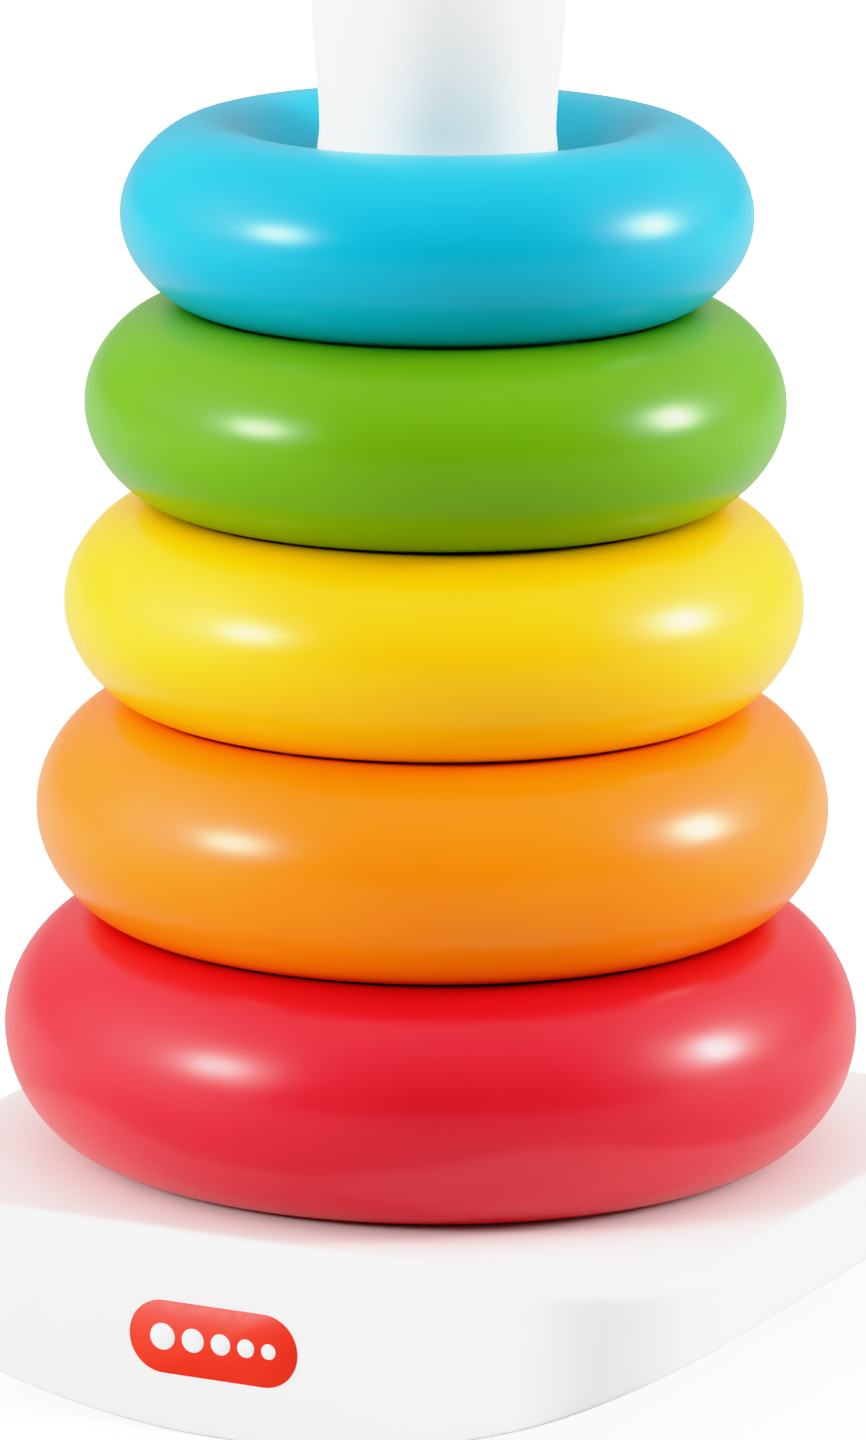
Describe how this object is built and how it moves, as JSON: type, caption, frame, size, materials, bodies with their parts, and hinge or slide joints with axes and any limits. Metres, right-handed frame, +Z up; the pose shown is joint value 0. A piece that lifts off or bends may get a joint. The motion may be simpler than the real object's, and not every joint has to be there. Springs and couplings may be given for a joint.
{
  "type": "stacking ring toy",
  "caption": "Stacking toy: coloured plastic rings of falling size on a tapered white post that stands on a square base with a curved rocking underside.",
  "frame": {"origin": "on the floor, on the post's axis, at the middle of the narrow flat that the rocking base comes to rest on", "axes": "+Z up along the post; X is the rocking direction, towards the base's two low straight-edged ends; -Y is the front, one of the two arched faces"},
  "size_m": [0.131, 0.1252, 0.2207],
  "materials": {
    "base_white": "satin moulded plastic",
    "pan_white": "satin moulded plastic",
    "post_white": "satin moulded plastic",
    "screw_steel": "zinc plated",
    "ring_red": "smooth glossy blow-moulded plastic",
    "ring_orange": "smooth glossy blow-moulded plastic",
    "ring_yellow": "smooth glossy blow-moulded plastic",
    "ring_green": "smooth glossy blow-moulded plastic",
    "ring_blue": "smooth glossy blow-moulded plastic"
  },
  "bodies": {
    "base": {"base_shell": "base_white", "rocker_pan": "pan_white", "post": "post_white", "base_screw_1": "screw_steel", "base_screw_2": "screw_steel", "base_screw_3": "screw_steel", "base_screw_4": "screw_steel"},
    "red": {"red_ring": "ring_red"},
    "orange": {"orange_ring": "ring_orange"},
    "yellow": {"yellow_ring": "ring_yellow"},
    "green": {"green_ring": "ring_green"},
    "blue": {"blue_ring": "ring_blue"}
  },
  "joints": [
    {"name": "red_lift", "type": "slide", "parent": "base", "child": "red", "axis": [0, 0, 1], "range_m": [0, 0.2]},
    {"name": "orange_lift", "type": "slide", "parent": "red", "child": "orange", "axis": [0, 0, 1], "range_m": [0, 0.165]},
    {"name": "yellow_lift", "type": "slide", "parent": "orange", "child": "yellow", "axis": [0, 0, 1], "range_m": [0, 0.135]},
    {"name": "green_lift", "type": "slide", "parent": "yellow", "child": "green", "axis": [0, 0, 1], "range_m": [0, 0.105]},
    {"name": "blue_lift", "type": "slide", "parent": "green", "child": "blue", "axis": [0, 0, 1], "range_m": [0, 0.08]}
  ]
}
